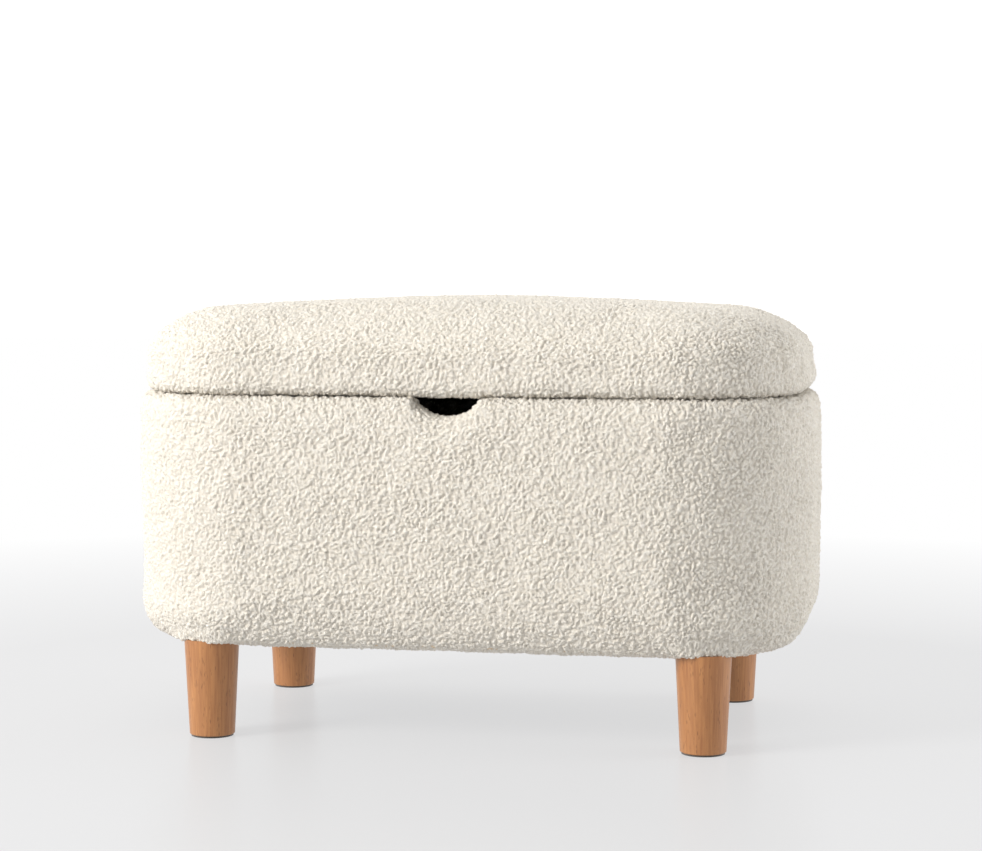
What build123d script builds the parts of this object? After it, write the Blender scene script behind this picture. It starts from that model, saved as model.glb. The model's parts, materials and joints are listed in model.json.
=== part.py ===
from build123d import *
import os

# Upholstered toy box. Origin on the floor under the middle of the box, +Z up, front towards -Y.
# All sizes in millimetres.

# Driving dimensions
WIDTH = 700.0
DEPTH = 400.0
PLAN_RADIUS = 136.0
BODY_BOTTOM = 95.0
BODY_TOP = 349.0
LID_BOTTOM = 350.6
LID_TOP = 450.0
LID_INSET = 5.0
LID_CROWN_RADIUS = 2400.0
LID_SHOULDER = 45.0

# Layers of the wall, from the pile inwards
COVER = 5.0
FOAM = 12.8
WOOD = 15.0
LINING = 1.5
GLUE = 0.2
COVER_FLAP = 2.0
FLAP_DROP = 34.0

# Edge roundings of the padded body and lid
BODY_LOW_EDGE = 26.0
BODY_HIGH_EDGE = 14.0
LID_LOW_EDGE = 12.0
BASE_EDGE = 6.0

# Carcass
BASE_BOTTOM = 100.0
SPLINE_WIDTH = 16.0
SPLINE_THICK = 4.0
SPLINE_LENGTH = 160.0
SPLINE_PLAY = 0.1
UNDER_FLAP = 75.0
DUST_COVER = 1.2

# Finger gap in the front wall
GAP_WIDTH = 70.0
GAP_DEPTH = 18.0
GAP_LIP = 3.0

# Lid
LID_BOARD = 15.0
LID_SIDE_FOAM = 8.0
LID_FLAP = 50.0
LID_LINING = 1.8

# Hinges
HINGE_X = 190.0
HINGE_LENGTH = 70.0
KNUCKLES = 5
KNUCKLE_RADIUS = 4.5
KNUCKLE_PLAY = 0.3
LEAF = 1.5
PIN_RADIUS = 2.0
PIN_PLAY = 0.05
PIN_HEAD_RADIUS = 3.2
PIN_HEAD = 1.5
HINGE_CLEARANCE = 0.8
HINGE_SCREW_SPACING = 22.0
HINGE_SCREW_RADIUS = 1.6
HINGE_SCREW_HEAD = 3.1
BOX_HINGE_SCREW = 28.0
LID_HINGE_SCREW = 13.0
SCREW_PLAY = 0.1
RECESS_SPAN = 0.62
RECESS_WIDTH = 0.16
RECESS_DEPTH = 0.7

# Carcass screws
CARCASS_SCREW_RADIUS = 2.25
CARCASS_SCREW_HEAD = 4.4
CARCASS_SCREW = 45.0
CARCASS_SCREW_INSET = 28.5
LONG_SCREW_X = (-150.0, -50.0, 50.0, 150.0)
SHORT_SCREW_Y = (-40.0, 40.0)

# Legs
LEG_SIDE_INSET = 98.0
LEG_FRONT_INSET = 46.0
LEG_TOP_RADIUS = 28.0
LEG_BOTTOM_RADIUS = 23.0
LEG_FOOT_ROUND = 1.2
LEG_CLEARANCE = 0.5
GLIDE = 1.8
GLIDE_RADIUS = 21.5
BOLT_RADIUS = 4.0
BOLT_IN_LEG = 45.0
BOLT_PLAY = 0.05
INSERT_RADIUS = 6.0
INSERT_LENGTH = 13.0

# Staples
STAPLE_CROWN = 10.0
STAPLE_WIRE = 1.0
STAPLE_BITE = 6.0
STAPLE_DEPTH = 2.2
STAPLE_EDGE = 6.0
LONG_STAPLES = 12
SHORT_STAPLES = 4

# Worked out from the driving dimensions
HINGE_Z = (BODY_TOP + LID_BOTTOM) / 2
HINGE_Y = DEPTH / 2 - KNUCKLE_RADIUS
RIM = HINGE_Z - KNUCKLE_RADIUS
LID_BOARD_BOTTOM = HINGE_Z + KNUCKLE_RADIUS
LID_BOARD_TOP = LID_BOARD_BOTTOM + LID_BOARD
WALL_OUT = COVER + GLUE + FOAM
WALL_IN = WALL_OUT + WOOD
WALL_MID = WALL_OUT + WOOD / 2
LID_BOARD_INSET = LID_INSET + COVER + GLUE + LID_SIDE_FOAM
BASE_TOP = BASE_BOTTOM + WOOD
FLOOR_LINING_BOTTOM = BASE_TOP + GLUE
FLAP_BOTTOM = RIM - FLAP_DROP
JOINT_X = WIDTH / 2 - PLAN_RADIUS
JOINT_Y = DEPTH / 2 - PLAN_RADIUS
LEG_X = WIDTH / 2 - LEG_SIDE_INSET
LEG_Y = DEPTH / 2 - LEG_FRONT_INSET
GAP_RADIUS = (GAP_WIDTH ** 2 / 4 + GAP_DEPTH ** 2) / (2 * GAP_DEPTH)
GAP_Z = BODY_TOP - GAP_DEPTH + GAP_RADIUS
WALL_MID_X = WIDTH / 2 - WALL_MID
WALL_MID_Y = DEPTH / 2 - WALL_MID
PAST = 10.0

CORNERS = {
    "front_left": (-1, -1),
    "front_right": (1, -1),
    "back_left": (-1, 1),
    "back_right": (1, 1),
}


def plan(inset):
    """Plan of the box, drawn in by inset all round."""
    return RectangleRounded(WIDTH - 2 * inset, DEPTH - 2 * inset, PLAN_RADIUS - inset)


def slab(inset, bottom, top):
    """The plan, drawn in by inset, from height bottom to height top."""
    return Pos(0, 0, bottom) * extrude(plan(inset), top - bottom)


def block(x_range, y_range, z_range):
    """Box between two corners."""
    size = [high - low for low, high in (x_range, y_range, z_range)]
    middle = [(high + low) / 2 for low, high in (x_range, y_range, z_range)]
    return Pos(*middle) * Box(*size)


def upright(x, y, bottom, top, radius):
    """Cylinder that stands at x, y."""
    return Pos(x, y, (bottom + top) / 2) * Cylinder(radius, top - bottom)


def padded_slab(inset, bottom, top, low_edge, high_edge):
    """Slab with its lower and upper edges rounded."""
    shape = slab(inset, bottom, top)
    shape = fillet(shape.faces().sort_by(Axis.Z)[0].edges(), low_edge)
    return fillet(shape.faces().sort_by(Axis.Z)[-1].edges(), high_edge)


def crowned_slab(inset, bottom, top, low_edge, high_edge):
    """Slab whose upper face is a shallow dome."""
    dome = Pos(0, 0, top - LID_CROWN_RADIUS) * Sphere(LID_CROWN_RADIUS)
    shape = slab(inset, bottom, top + PAST) & dome
    shape = fillet(shape.faces().sort_by(Axis.Z)[0].edges(), low_edge)
    return fillet(shape.faces().sort_by(Axis.Z)[-1].edges(), high_edge)


def finger_gap(grow):
    """Cylinder through the front wall that cuts the half-moon gap, larger by grow."""
    length = WALL_IN + 2 * PAST
    middle = -DEPTH / 2 + WALL_IN / 2
    return Pos(0, middle, GAP_Z) * Rot(90, 0, 0) * Cylinder(GAP_RADIUS + grow, length)


def leg_places():
    """Name and x, y of each leg."""
    return [(name, sx * LEG_X, sy * LEG_Y) for name, (sx, sy) in CORNERS.items()]


def screw(radius, head_radius, length, play=0.0):
    """Countersunk screw, head up, its head's face at z = 0. With play, its plain hole."""
    head = head_radius - radius
    cone = Pos(0, 0, -head / 2) * Cone(radius + play, head_radius + play, head)
    shank = Pos(0, 0, -length / 2) * Cylinder(radius + play, length)
    body = cone + shank
    if play > 0:
        return body
    span = 2 * head_radius * RECESS_SPAN
    bar = Box(span, 2 * head_radius * RECESS_WIDTH, 2 * head * RECESS_DEPTH)
    return body - bar - Rot(0, 0, 90) * bar


def spline_places():
    """Middle and size in plan of each loose tongue."""
    places = []
    for sx, sy in CORNERS.values():
        places.append((sx * JOINT_X, sy * WALL_MID_Y, SPLINE_WIDTH, SPLINE_THICK))
        places.append((sx * WALL_MID_X, sy * JOINT_Y, SPLINE_THICK, SPLINE_WIDTH))
    return places


def splines(play):
    """The eight tongues, each larger by play all round."""
    middle = (BASE_TOP + RIM) / 2
    tongues = []
    for x, y, size_x, size_y in spline_places():
        tongue = Box(size_x + 2 * play, size_y + 2 * play, SPLINE_LENGTH + 2 * play)
        tongues.append(Pos(x, y, middle) * tongue)
    return tongues


def carcass_screws(play):
    """Screws up through the base into the lower edges of the walls."""
    wall_x = WIDTH / 2 - CARCASS_SCREW_INSET
    wall_y = DEPTH / 2 - CARCASS_SCREW_INSET
    places = [(x, sy * wall_y) for x in LONG_SCREW_X for sy in (-1, 1)]
    places += [(sx * wall_x, y) for y in SHORT_SCREW_Y for sx in (-1, 1)]
    one = screw(CARCASS_SCREW_RADIUS, CARCASS_SCREW_HEAD, CARCASS_SCREW, play)
    return [Pos(x, y, BASE_BOTTOM) * Rot(180, 0, 0) * one for x, y in places]


def hinge_screw_places():
    """x of every hinge screw."""
    steps = (-HINGE_SCREW_SPACING, 0.0, HINGE_SCREW_SPACING)
    return [side * HINGE_X + step for side in (-1, 1) for step in steps]


def box_hinge_screws(play):
    """Hinge screws down into the upper edge of the back panel."""
    one = screw(HINGE_SCREW_RADIUS, HINGE_SCREW_HEAD, BOX_HINGE_SCREW, play)
    return [Pos(x, WALL_MID_Y, RIM + LEAF) * one for x in hinge_screw_places()]


def lid_hinge_screws(play):
    """Hinge screws up into the lid board."""
    one = Rot(180, 0, 0) * screw(HINGE_SCREW_RADIUS, HINGE_SCREW_HEAD, LID_HINGE_SCREW, play)
    return [Pos(x, WALL_MID_Y, LID_BOARD_BOTTOM - LEAF) * one for x in hinge_screw_places()]


def hinge_pockets():
    """Space that the leaves and the barrel of each hinge keep free of cloth."""
    pockets = []
    half = HINGE_LENGTH / 2 + HINGE_CLEARANCE
    front = DEPTH / 2 - WALL_IN
    for side in (-1, 1):
        x_range = (side * HINGE_X - half, side * HINGE_X + half)
        leaves = block(x_range, (front, HINGE_Y), (RIM, LID_BOARD_BOTTOM))
        barrel = Cylinder(KNUCKLE_RADIUS + HINGE_CLEARANCE, 2 * half)
        pockets.append(leaves + Pos(side * HINGE_X, HINGE_Y, HINGE_Z) * Rot(0, 90, 0) * barrel)
    return pockets


def make_base_panel():
    """Plywood base with a softened lower edge, drilled for leg inserts and screws."""
    panel = slab(WALL_OUT, BASE_BOTTOM, BASE_TOP)
    panel = fillet(panel.faces().sort_by(Axis.Z)[0].edges(), BASE_EDGE)
    for _, x, y in leg_places():
        panel -= upright(x, y, BASE_BOTTOM, BASE_TOP, INSERT_RADIUS)
    return panel - carcass_screws(SCREW_PLAY)


def drilled(panel):
    """Wall with its spline grooves, screw holes and hinge screw holes."""
    return panel - splines(SPLINE_PLAY) - carcass_screws(SCREW_PLAY) - box_hinge_screws(SCREW_PLAY)


def make_long_panel(side):
    """Front (side -1) or back (side 1) panel between the bent corners."""
    inner = side * (DEPTH / 2 - WALL_IN)
    outer = side * (DEPTH / 2 - WALL_OUT)
    y_range = (min(inner, outer), max(inner, outer))
    return drilled(block((-JOINT_X, JOINT_X), y_range, (BASE_TOP, RIM)))


def make_end_panel(side):
    """Left (side -1) or right (side 1) panel between the bent corners."""
    inner = side * (WIDTH / 2 - WALL_IN)
    outer = side * (WIDTH / 2 - WALL_OUT)
    x_range = (min(inner, outer), max(inner, outer))
    return drilled(block(x_range, (-JOINT_Y, JOINT_Y), (BASE_TOP, RIM)))


def make_corner(side_x, side_y):
    """Quarter round of bent plywood."""
    x, y = side_x * JOINT_X, side_y * JOINT_Y
    ring = upright(x, y, BASE_TOP, RIM, PLAN_RADIUS - WALL_OUT)
    ring -= upright(x, y, BASE_TOP, RIM, PLAN_RADIUS - WALL_IN)
    reach_x, reach_y = x + side_x * PLAN_RADIUS, y + side_y * PLAN_RADIUS
    x_range = (min(x, reach_x), max(x, reach_x))
    y_range = (min(y, reach_y), max(y, reach_y))
    return drilled(ring & block(x_range, y_range, (BASE_TOP, RIM)))


def make_body_foam():
    """Thin foam wrap round the wooden walls."""
    foam = padded_slab(
        COVER + GLUE, BASE_BOTTOM, RIM - GLUE, BODY_LOW_EDGE - COVER - GLUE, BODY_HIGH_EDGE - COVER - GLUE
    )
    foam -= slab(WALL_OUT - GLUE, BASE_BOTTOM, RIM)
    return foam - finger_gap(GAP_LIP + GLUE)


def make_body_cover():
    """Pile cover: over the rim, in through the finger gap and under the base."""
    cover = padded_slab(0, BODY_BOTTOM, BODY_TOP, BODY_LOW_EDGE, BODY_HIGH_EDGE)
    cover -= padded_slab(
        COVER, BASE_BOTTOM - GLUE, RIM + GLUE, BODY_LOW_EDGE - COVER, BODY_HIGH_EDGE - COVER
    )
    flap = slab(WALL_IN + GLUE, FLAP_BOTTOM, BODY_TOP)
    cover += flap
    cover -= slab(WALL_IN + GLUE + COVER_FLAP, FLAP_BOTTOM, BODY_TOP)
    cover -= slab(UNDER_FLAP, BODY_BOTTOM, BASE_BOTTOM)
    lip = finger_gap(GAP_LIP) & block(
        (-GAP_WIDTH, GAP_WIDTH),
        (-DEPTH / 2 + COVER / 2, -DEPTH / 2 + WALL_IN + GLUE + COVER_FLAP),
        (FLAP_BOTTOM, BODY_TOP),
    )
    cover = cover + lip - finger_gap(0)
    for _, x, y in leg_places():
        cover -= upright(x, y, BODY_BOTTOM, BASE_BOTTOM, LEG_TOP_RADIUS + LEG_CLEARANCE)
    return cover - hinge_pockets()


def make_wall_lining():
    """Dark cloth on the inside of the walls, up to the cover's flap."""
    bottom = FLOOR_LINING_BOTTOM + LINING + GLUE
    lining = slab(WALL_IN + GLUE, bottom, FLAP_BOTTOM - GLUE)
    return lining - slab(WALL_IN + GLUE + LINING, bottom, FLAP_BOTTOM)


def make_floor_lining():
    """Dark cloth over the base inside the box."""
    return slab(WALL_IN + GLUE, FLOOR_LINING_BOTTOM, FLOOR_LINING_BOTTOM + LINING)


def make_dust_cover():
    """Thin cloth under the base, inside the cover's turned edge."""
    top = BASE_BOTTOM - GLUE
    return slab(UNDER_FLAP + GLUE, top - DUST_COVER, top)


def staple_ring(inset, crown_bottom):
    """Staples along the straight stretches at inset, with their legs up."""
    wire = STAPLE_WIRE
    crown = Pos(0, 0, wire / 2) * Box(STAPLE_CROWN, wire, wire)
    length = STAPLE_BITE + STAPLE_DEPTH
    leg = Pos(0, 0, length / 2) * Box(wire, wire, length)
    reach = (STAPLE_CROWN - wire) / 2
    one = crown + Pos(-reach, 0, 0) * leg + Pos(reach, 0, 0) * leg
    ring = []
    for side in (-1, 1):
        for i in range(LONG_STAPLES):
            x = JOINT_X * (2 * i + 1 - LONG_STAPLES) / LONG_STAPLES
            ring.append(Pos(x, side * (DEPTH / 2 - inset), crown_bottom) * one)
        for i in range(SHORT_STAPLES):
            y = JOINT_Y * (2 * i + 1 - SHORT_STAPLES) / SHORT_STAPLES
            ring.append(Pos(side * (WIDTH / 2 - inset), y, crown_bottom) * Rot(0, 0, 90) * one)
    return ring


def make_leg(x, y):
    """Turned leg, widest at the top, bored for its hanger bolt."""
    height = BASE_BOTTOM - GLIDE
    leg = Pos(x, y, GLIDE + height / 2) * Cone(LEG_BOTTOM_RADIUS, LEG_TOP_RADIUS, height)
    leg = fillet(leg.faces().sort_by(Axis.Z)[0].edges(), LEG_FOOT_ROUND)
    return leg - upright(x, y, BASE_BOTTOM - BOLT_IN_LEG, BASE_BOTTOM, BOLT_RADIUS + BOLT_PLAY)


def make_glide(x, y):
    """Felt pad under a leg."""
    return upright(x, y, 0, GLIDE, GLIDE_RADIUS)


def make_hanger_bolt(x, y):
    """Threaded stud from the leg up into its insert."""
    return upright(x, y, BASE_BOTTOM - BOLT_IN_LEG, BASE_TOP - GLUE, BOLT_RADIUS)


def make_insert(x, y):
    """Threaded insert pressed into the base, which takes the leg's bolt."""
    insert = upright(x, y, BASE_TOP - INSERT_LENGTH, BASE_TOP, INSERT_RADIUS)
    return insert - upright(x, y, BASE_BOTTOM, BASE_TOP, BOLT_RADIUS + BOLT_PLAY)


def make_lid_board():
    """Plywood board of the lid, drilled for the hinges."""
    return slab(LID_BOARD_INSET, LID_BOARD_BOTTOM, LID_BOARD_TOP) - lid_hinge_screws(SCREW_PLAY)


def make_lid_foam():
    """Crowned foam over the board and round its edges."""
    inset = LID_INSET + COVER + GLUE
    trim = COVER + GLUE
    foam = crowned_slab(
        inset, LID_BOARD_BOTTOM, LID_TOP - trim, LID_LOW_EDGE - trim, LID_SHOULDER - trim
    )
    return foam - slab(LID_BOARD_INSET - GLUE, LID_BOARD_BOTTOM, LID_BOARD_TOP + GLUE)


def make_lid_cover():
    """Pile cover of the lid, turned under the board."""
    cover = crowned_slab(LID_INSET, LID_BOTTOM, LID_TOP, LID_LOW_EDGE, LID_SHOULDER)
    cover -= crowned_slab(
        LID_INSET + COVER,
        LID_BOARD_BOTTOM - GLUE,
        LID_TOP - COVER,
        LID_LOW_EDGE - COVER,
        LID_SHOULDER - COVER,
    )
    cover -= slab(LID_INSET + LID_FLAP, LID_BOTTOM, LID_BOARD_BOTTOM)
    return cover - hinge_pockets()


def make_lid_lining():
    """Dark cloth under the lid board, inside the cover's turned edge."""
    top = LID_BOARD_BOTTOM - GLUE
    return slab(LID_INSET + LID_FLAP + GLUE, top - LID_LINING, top)


def make_leaf(side, parity, above):
    """Hinge leaf with its knuckles: above is 1 for the lid's leaf and -1 for the box's."""
    pitch = HINGE_LENGTH / KNUCKLES
    start = side * HINGE_X - HINGE_LENGTH / 2
    far = HINGE_Z + above * KNUCKLE_RADIUS
    near = far - above * LEAF
    front = DEPTH / 2 - WALL_IN
    leaf = block((start, start + HINGE_LENGTH), (front, HINGE_Y), (min(near, far), max(near, far)))
    for i in range(KNUCKLES):
        middle = Pos(start + pitch * (i + 0.5), HINGE_Y, HINGE_Z) * Rot(0, 90, 0)
        if i % 2 == parity:
            leaf += middle * Cylinder(KNUCKLE_RADIUS, pitch)
    for i in range(KNUCKLES):
        middle = Pos(start + pitch * (i + 0.5), HINGE_Y, HINGE_Z) * Rot(0, 90, 0)
        if i % 2 != parity:
            leaf -= middle * Cylinder(KNUCKLE_RADIUS + KNUCKLE_PLAY, pitch + KNUCKLE_PLAY)
    bore = Pos(side * HINGE_X, HINGE_Y, HINGE_Z) * Rot(0, 90, 0)
    leaf -= bore * Cylinder(PIN_RADIUS + PIN_PLAY, HINGE_LENGTH + PAST)
    screws = lid_hinge_screws if above > 0 else box_hinge_screws
    return leaf - screws(SCREW_PLAY)


def make_pin(side):
    """Hinge pin with a head at each end."""
    place = Pos(side * HINGE_X, HINGE_Y, HINGE_Z) * Rot(0, 90, 0)
    pin = Cylinder(PIN_RADIUS, HINGE_LENGTH + 2 * PIN_PLAY)
    for end in (-1, 1):
        offset = end * (HINGE_LENGTH / 2 + PIN_PLAY + PIN_HEAD / 2)
        pin += Pos(0, 0, offset) * Cylinder(PIN_HEAD_RADIUS, PIN_HEAD)
    return place * pin


def all_parts():
    """Every node's name and shape."""
    parts = {
        "base_panel": make_base_panel(),
        "front_panel": make_long_panel(-1) - finger_gap(GAP_LIP + GLUE),
        "back_panel": make_long_panel(1),
        "left_panel": make_end_panel(-1),
        "right_panel": make_end_panel(1),
        "joint_splines": Compound(splines(0.0)),
        "carcass_screws": Compound(carcass_screws(0.0)),
        "body_foam": make_body_foam(),
        "body_cover": make_body_cover(),
        "wall_lining": make_wall_lining(),
        "floor_lining": make_floor_lining(),
        "dust_cover": make_dust_cover(),
        "cover_staples": Compound(staple_ring(UNDER_FLAP - STAPLE_EDGE, BASE_BOTTOM - STAPLE_DEPTH)),
        "hanger_bolts": Compound([make_hanger_bolt(x, y) for _, x, y in leg_places()]),
        "threaded_inserts": Compound([make_insert(x, y) for _, x, y in leg_places()]),
        "lid_board": make_lid_board(),
        "lid_foam": make_lid_foam(),
        "lid_cover": make_lid_cover(),
        "lid_lining": make_lid_lining(),
        "lid_staples": Compound(
            staple_ring(LID_INSET + LID_FLAP - STAPLE_EDGE, LID_BOARD_BOTTOM - STAPLE_DEPTH)
        ),
        "box_hinge_screws": Compound(box_hinge_screws(0.0)),
        "lid_hinge_screws": Compound(lid_hinge_screws(0.0)),
    }
    for name, (side_x, side_y) in CORNERS.items():
        parts["corner_" + name] = make_corner(side_x, side_y)
    for name, x, y in leg_places():
        parts["leg_" + name] = make_leg(x, y)
        parts["glide_" + name] = make_glide(x, y)
    for name, side in (("left", -1), ("right", 1)):
        parts["hinge_" + name + "_box_leaf"] = make_leaf(side, 0, -1)
        parts["hinge_" + name + "_lid_leaf"] = make_leaf(side, 1, 1)
        parts["hinge_" + name + "_pin"] = make_pin(side)
    return parts


os.makedirs("parts", exist_ok=True)
for node, shape in all_parts().items():
    export_step(shape, "parts/" + node + ".step")
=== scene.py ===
"""Storage box with a hinged, padded lid: its finished look, built round the CAD frame.

The frame gives every size and place. This file adds the curly pile on the body and the lid, the
cloth linings, the finishes of the wood, felt and steel, and a pale studio.
"""

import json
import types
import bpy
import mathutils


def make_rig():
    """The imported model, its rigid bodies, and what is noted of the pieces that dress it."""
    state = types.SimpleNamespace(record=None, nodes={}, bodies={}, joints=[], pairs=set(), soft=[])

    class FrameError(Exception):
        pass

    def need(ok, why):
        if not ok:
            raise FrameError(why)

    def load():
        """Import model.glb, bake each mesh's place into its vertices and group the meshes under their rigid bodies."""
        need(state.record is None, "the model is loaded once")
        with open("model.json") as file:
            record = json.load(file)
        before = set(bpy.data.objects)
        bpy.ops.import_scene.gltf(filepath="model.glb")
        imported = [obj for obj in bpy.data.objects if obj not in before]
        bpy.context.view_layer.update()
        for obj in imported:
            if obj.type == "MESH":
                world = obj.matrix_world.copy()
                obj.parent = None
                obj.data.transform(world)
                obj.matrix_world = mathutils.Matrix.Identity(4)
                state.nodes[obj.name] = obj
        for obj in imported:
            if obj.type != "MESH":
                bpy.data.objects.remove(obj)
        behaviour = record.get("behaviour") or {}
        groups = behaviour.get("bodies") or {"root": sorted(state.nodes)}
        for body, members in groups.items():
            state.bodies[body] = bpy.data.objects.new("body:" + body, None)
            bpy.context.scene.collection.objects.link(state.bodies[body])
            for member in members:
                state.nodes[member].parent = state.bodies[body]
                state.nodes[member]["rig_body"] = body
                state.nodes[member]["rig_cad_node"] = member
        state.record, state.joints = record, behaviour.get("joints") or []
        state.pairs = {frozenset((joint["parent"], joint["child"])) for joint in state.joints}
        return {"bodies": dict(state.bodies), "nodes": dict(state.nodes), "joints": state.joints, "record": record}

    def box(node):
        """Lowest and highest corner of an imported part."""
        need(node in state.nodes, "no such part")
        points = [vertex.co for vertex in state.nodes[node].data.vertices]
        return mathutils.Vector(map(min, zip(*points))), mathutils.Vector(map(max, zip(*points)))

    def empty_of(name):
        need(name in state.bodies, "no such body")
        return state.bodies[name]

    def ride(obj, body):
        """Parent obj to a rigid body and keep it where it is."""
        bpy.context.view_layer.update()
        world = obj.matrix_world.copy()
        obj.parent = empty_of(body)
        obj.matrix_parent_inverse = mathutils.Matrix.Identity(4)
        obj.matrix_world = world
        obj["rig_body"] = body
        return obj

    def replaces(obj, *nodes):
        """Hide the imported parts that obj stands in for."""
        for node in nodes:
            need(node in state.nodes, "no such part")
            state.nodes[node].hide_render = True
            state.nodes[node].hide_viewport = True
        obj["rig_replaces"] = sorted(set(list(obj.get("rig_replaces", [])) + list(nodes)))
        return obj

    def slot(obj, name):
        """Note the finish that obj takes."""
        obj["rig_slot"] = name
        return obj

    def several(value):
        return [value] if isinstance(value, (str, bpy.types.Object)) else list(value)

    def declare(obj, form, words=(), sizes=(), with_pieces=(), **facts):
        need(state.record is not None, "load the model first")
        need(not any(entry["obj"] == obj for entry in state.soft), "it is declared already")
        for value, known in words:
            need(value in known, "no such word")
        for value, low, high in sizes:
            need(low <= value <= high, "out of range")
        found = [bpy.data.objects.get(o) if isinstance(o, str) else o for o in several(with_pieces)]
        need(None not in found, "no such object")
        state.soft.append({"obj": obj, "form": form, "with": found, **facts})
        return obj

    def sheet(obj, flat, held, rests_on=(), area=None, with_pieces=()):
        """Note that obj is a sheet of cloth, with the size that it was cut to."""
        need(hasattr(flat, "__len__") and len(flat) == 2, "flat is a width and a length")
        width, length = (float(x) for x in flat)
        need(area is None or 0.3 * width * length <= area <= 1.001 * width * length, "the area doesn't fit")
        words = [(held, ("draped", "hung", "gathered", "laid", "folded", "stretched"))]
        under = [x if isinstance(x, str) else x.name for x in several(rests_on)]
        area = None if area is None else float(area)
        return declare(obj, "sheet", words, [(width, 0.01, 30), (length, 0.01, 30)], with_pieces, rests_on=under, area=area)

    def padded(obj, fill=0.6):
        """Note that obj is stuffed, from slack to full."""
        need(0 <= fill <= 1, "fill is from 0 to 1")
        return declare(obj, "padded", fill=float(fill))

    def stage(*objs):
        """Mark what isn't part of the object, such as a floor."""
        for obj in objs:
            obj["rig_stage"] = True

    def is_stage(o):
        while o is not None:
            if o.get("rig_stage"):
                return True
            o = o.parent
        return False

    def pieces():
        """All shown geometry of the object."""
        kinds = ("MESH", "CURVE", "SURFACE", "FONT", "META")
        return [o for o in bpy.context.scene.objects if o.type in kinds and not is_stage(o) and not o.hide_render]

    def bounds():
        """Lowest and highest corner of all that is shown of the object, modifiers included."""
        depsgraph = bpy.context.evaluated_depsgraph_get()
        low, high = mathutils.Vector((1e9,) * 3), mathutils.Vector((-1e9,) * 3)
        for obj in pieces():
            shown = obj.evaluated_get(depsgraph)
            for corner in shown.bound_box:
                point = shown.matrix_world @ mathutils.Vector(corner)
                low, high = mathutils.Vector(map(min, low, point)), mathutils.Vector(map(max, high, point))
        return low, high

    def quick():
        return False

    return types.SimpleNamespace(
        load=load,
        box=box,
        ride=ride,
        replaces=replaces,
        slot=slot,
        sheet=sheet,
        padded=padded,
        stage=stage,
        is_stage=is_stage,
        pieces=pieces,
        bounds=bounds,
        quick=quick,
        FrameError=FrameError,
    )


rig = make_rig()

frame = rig.load()
CAD_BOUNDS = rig.bounds()

import json
import math

import bmesh
import bpy
import numpy as np
from bpy.props import FloatProperty, FloatVectorProperty, IntProperty, PointerProperty
from mathutils import Vector

bl_info = {
    "name": "Padded storage box",
    "version": (1, 0, 0),
    "blender": (4, 5, 0),
    "location": "3D View > Sidebar > Padded box",
    "description": "Builds the pile, linings and finishes of a padded storage box on its CAD frame",
    "category": "Object",
}

MM = 0.001

# The plan is a core rectangle with a constant margin round it, so its corners are arcs.
BODY_LOW, BODY_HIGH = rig.box("body_cover")
LID_LOW, LID_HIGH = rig.box("lid_cover")
CORNER_LOW, CORNER_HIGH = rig.box("corner_front_right")
CORE_X = CORNER_LOW.x
CORE_Y = -CORNER_HIGH.y
ROUND = BODY_HIGH.x - CORE_X
LID_INSET = BODY_HIGH.x - LID_HIGH.x

# Cells of the cages round the plan, about 8.5 mm each, and how often they are then divided.
FRONT_CELLS = 50
SIDE_CELLS = 15
ARC_CELLS = 26
ROW = 8.5 * MM
FINE_LEVELS = 3


# ------------------------------------------------------------------ settings


class PileSettings(bpy.types.PropertyGroup):
    """The curly pile cloth on the body and the lid."""

    # Curl colour and ground colour are the two ends of a painted shade: the pile material darkens the low places
    # between curls and strands towards the ground colour.
    light: FloatVectorProperty(
        name="Curl colour", description="Colour of the tops of the curls", subtype="COLOR",
        default=(0.87, 0.84, 0.78), min=0.0, max=1.0)
    shade: FloatVectorProperty(
        name="Ground colour", description="Colour between the curls", subtype="COLOR",
        default=(0.70, 0.635, 0.54), min=0.0, max=1.0)
    curl: FloatProperty(
        name="Curl size", description="Distance from one curl to the next",
        default=2.7 * MM, min=2 * MM, max=12 * MM, unit="LENGTH", precision=4)
    height: FloatProperty(
        name="Curl height", description="How far a curl stands above the ground between curls",
        default=2.1 * MM, min=0.0, max=6 * MM, unit="LENGTH", precision=4)
    pressure: FloatProperty(
        name="Filling", description="Pressure that swells the padding", default=4.0, min=0.0)
    swell: FloatProperty(
        name="Most swelling", description="The furthest that the padding may swell",
        default=3 * MM, min=0.0, max=20 * MM, unit="LENGTH", precision=4)
    seed: IntProperty(
        name="Seed", description="Another number lays the curls in another way", default=7, min=0)


class BeechSettings(bpy.types.PropertyGroup):
    """The lacquered beech of the legs."""

    light: FloatVectorProperty(
        name="Light wood", description="Colour between the grain lines", subtype="COLOR",
        default=(0.50, 0.225, 0.078), min=0.0, max=1.0)
    dark: FloatVectorProperty(
        name="Dark wood", description="Colour of the grain lines", subtype="COLOR",
        default=(0.30, 0.115, 0.036), min=0.0, max=1.0)
    fleck: FloatVectorProperty(
        name="Flecks", description="Colour of the short dark flecks", subtype="COLOR",
        default=(0.12, 0.045, 0.016), min=0.0, max=1.0)


class LiningSettings(bpy.types.PropertyGroup):
    """The woven cloth inside the box and under it."""

    cloth: FloatVectorProperty(
        name="Lining", description="Colour of the lining cloth", subtype="COLOR",
        default=(0.030, 0.031, 0.035), min=0.0, max=1.0)
    thread: FloatVectorProperty(
        name="Thread", description="Colour of the raised threads", subtype="COLOR",
        default=(0.060, 0.061, 0.066), min=0.0, max=1.0)
    pitch: FloatProperty(
        name="Thread pitch", description="Distance from one thread to the next",
        default=1.1 * MM, min=0.3 * MM, max=4 * MM, unit="LENGTH", precision=4)


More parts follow.
